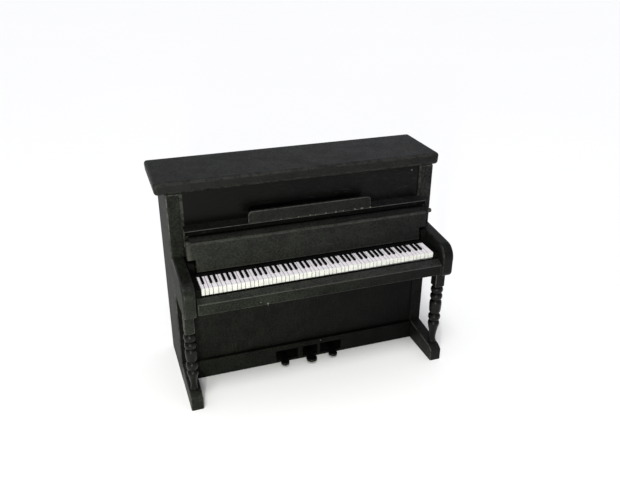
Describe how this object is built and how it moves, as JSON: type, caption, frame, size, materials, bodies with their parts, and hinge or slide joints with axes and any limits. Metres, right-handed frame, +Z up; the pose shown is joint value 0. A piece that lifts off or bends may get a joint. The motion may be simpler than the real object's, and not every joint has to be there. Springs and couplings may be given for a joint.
{
  "type": "miniature upright piano",
  "caption": "Dolls house upright piano: black wooden case, hinged lid, folding fallboard over a moulded keyboard, music shelf and rail, turned front legs on toe blocks, fixed pedals.",
  "frame": {"origin": "on the floor, under the middle of the case: midway between the side panels, and midway from the key bed's front edge to the lid's back edge", "axes": "+X to the treble side (the player's right), +Y to the back of the piano, +Z up"},
  "size_m": [0.1375, 0.0614, 0.1043],
  "materials": {
    "black_lacquer": "satin black paint",
    "dark_inside": "matt black paint",
    "key_white": "satin",
    "key_black": "satin",
    "hinge_brass": "satin",
    "pin_steel": "brushed"
  },
  "bodies": {
    "case": {"side_panel_left": "black_lacquer", "side_panel_right": "black_lacquer", "back_panel": "black_lacquer", "bottom_board": "black_lacquer", "upper_front_panel": "black_lacquer", "upper_trim_strip_left": "black_lacquer", "upper_trim_strip_right": "black_lacquer", "music_shelf": "black_lacquer", "music_rail": "black_lacquer", "shelf_support_rail": "black_lacquer", "inner_front_board": "black_lacquer", "lower_front_panel": "black_lacquer", "bottom_rail": "black_lacquer", "key_bed": "black_lacquer", "key_base": "dark_inside", "white_key_strip": "key_white", "black_key_comb": "key_black", "key_block_left": "black_lacquer", "key_block_right": "black_lacquer", "arm_left": "black_lacquer", "arm_right": "black_lacquer", "leg_left": "black_lacquer", "leg_right": "black_lacquer", "toe_block_left": "black_lacquer", "toe_block_right": "black_lacquer", "pedal_left": "black_lacquer", "pedal_middle": "black_lacquer", "pedal_right": "black_lacquer", "lid_hinge_case_leaf_left": "hinge_brass", "lid_hinge_case_leaf_right": "hinge_brass", "lid_hinge_pin_left": "hinge_brass", "lid_hinge_pin_right": "hinge_brass"},
    "lid": {"top_lid": "black_lacquer", "lid_hinge_lid_leaf_left": "hinge_brass", "lid_hinge_lid_leaf_right": "hinge_brass"},
    "fallboard": {"fallboard": "black_lacquer", "fallboard_nosing": "black_lacquer", "fallboard_pin_left": "pin_steel", "fallboard_pin_right": "pin_steel"}
  },
  "joints": [
    {"name": "fallboard_hinge", "type": "hinge", "parent": "case", "child": "fallboard", "pos_m": [0, -0.01098, 0.066], "axis": [1, 0, 0], "range_deg": [0, 85]},
    {"name": "lid_hinge", "type": "hinge", "parent": "case", "child": "lid", "pos_m": [0, 0.02993, 0.0982], "axis": [-1, 0, 0], "range_deg": [0, 95]}
  ]
}
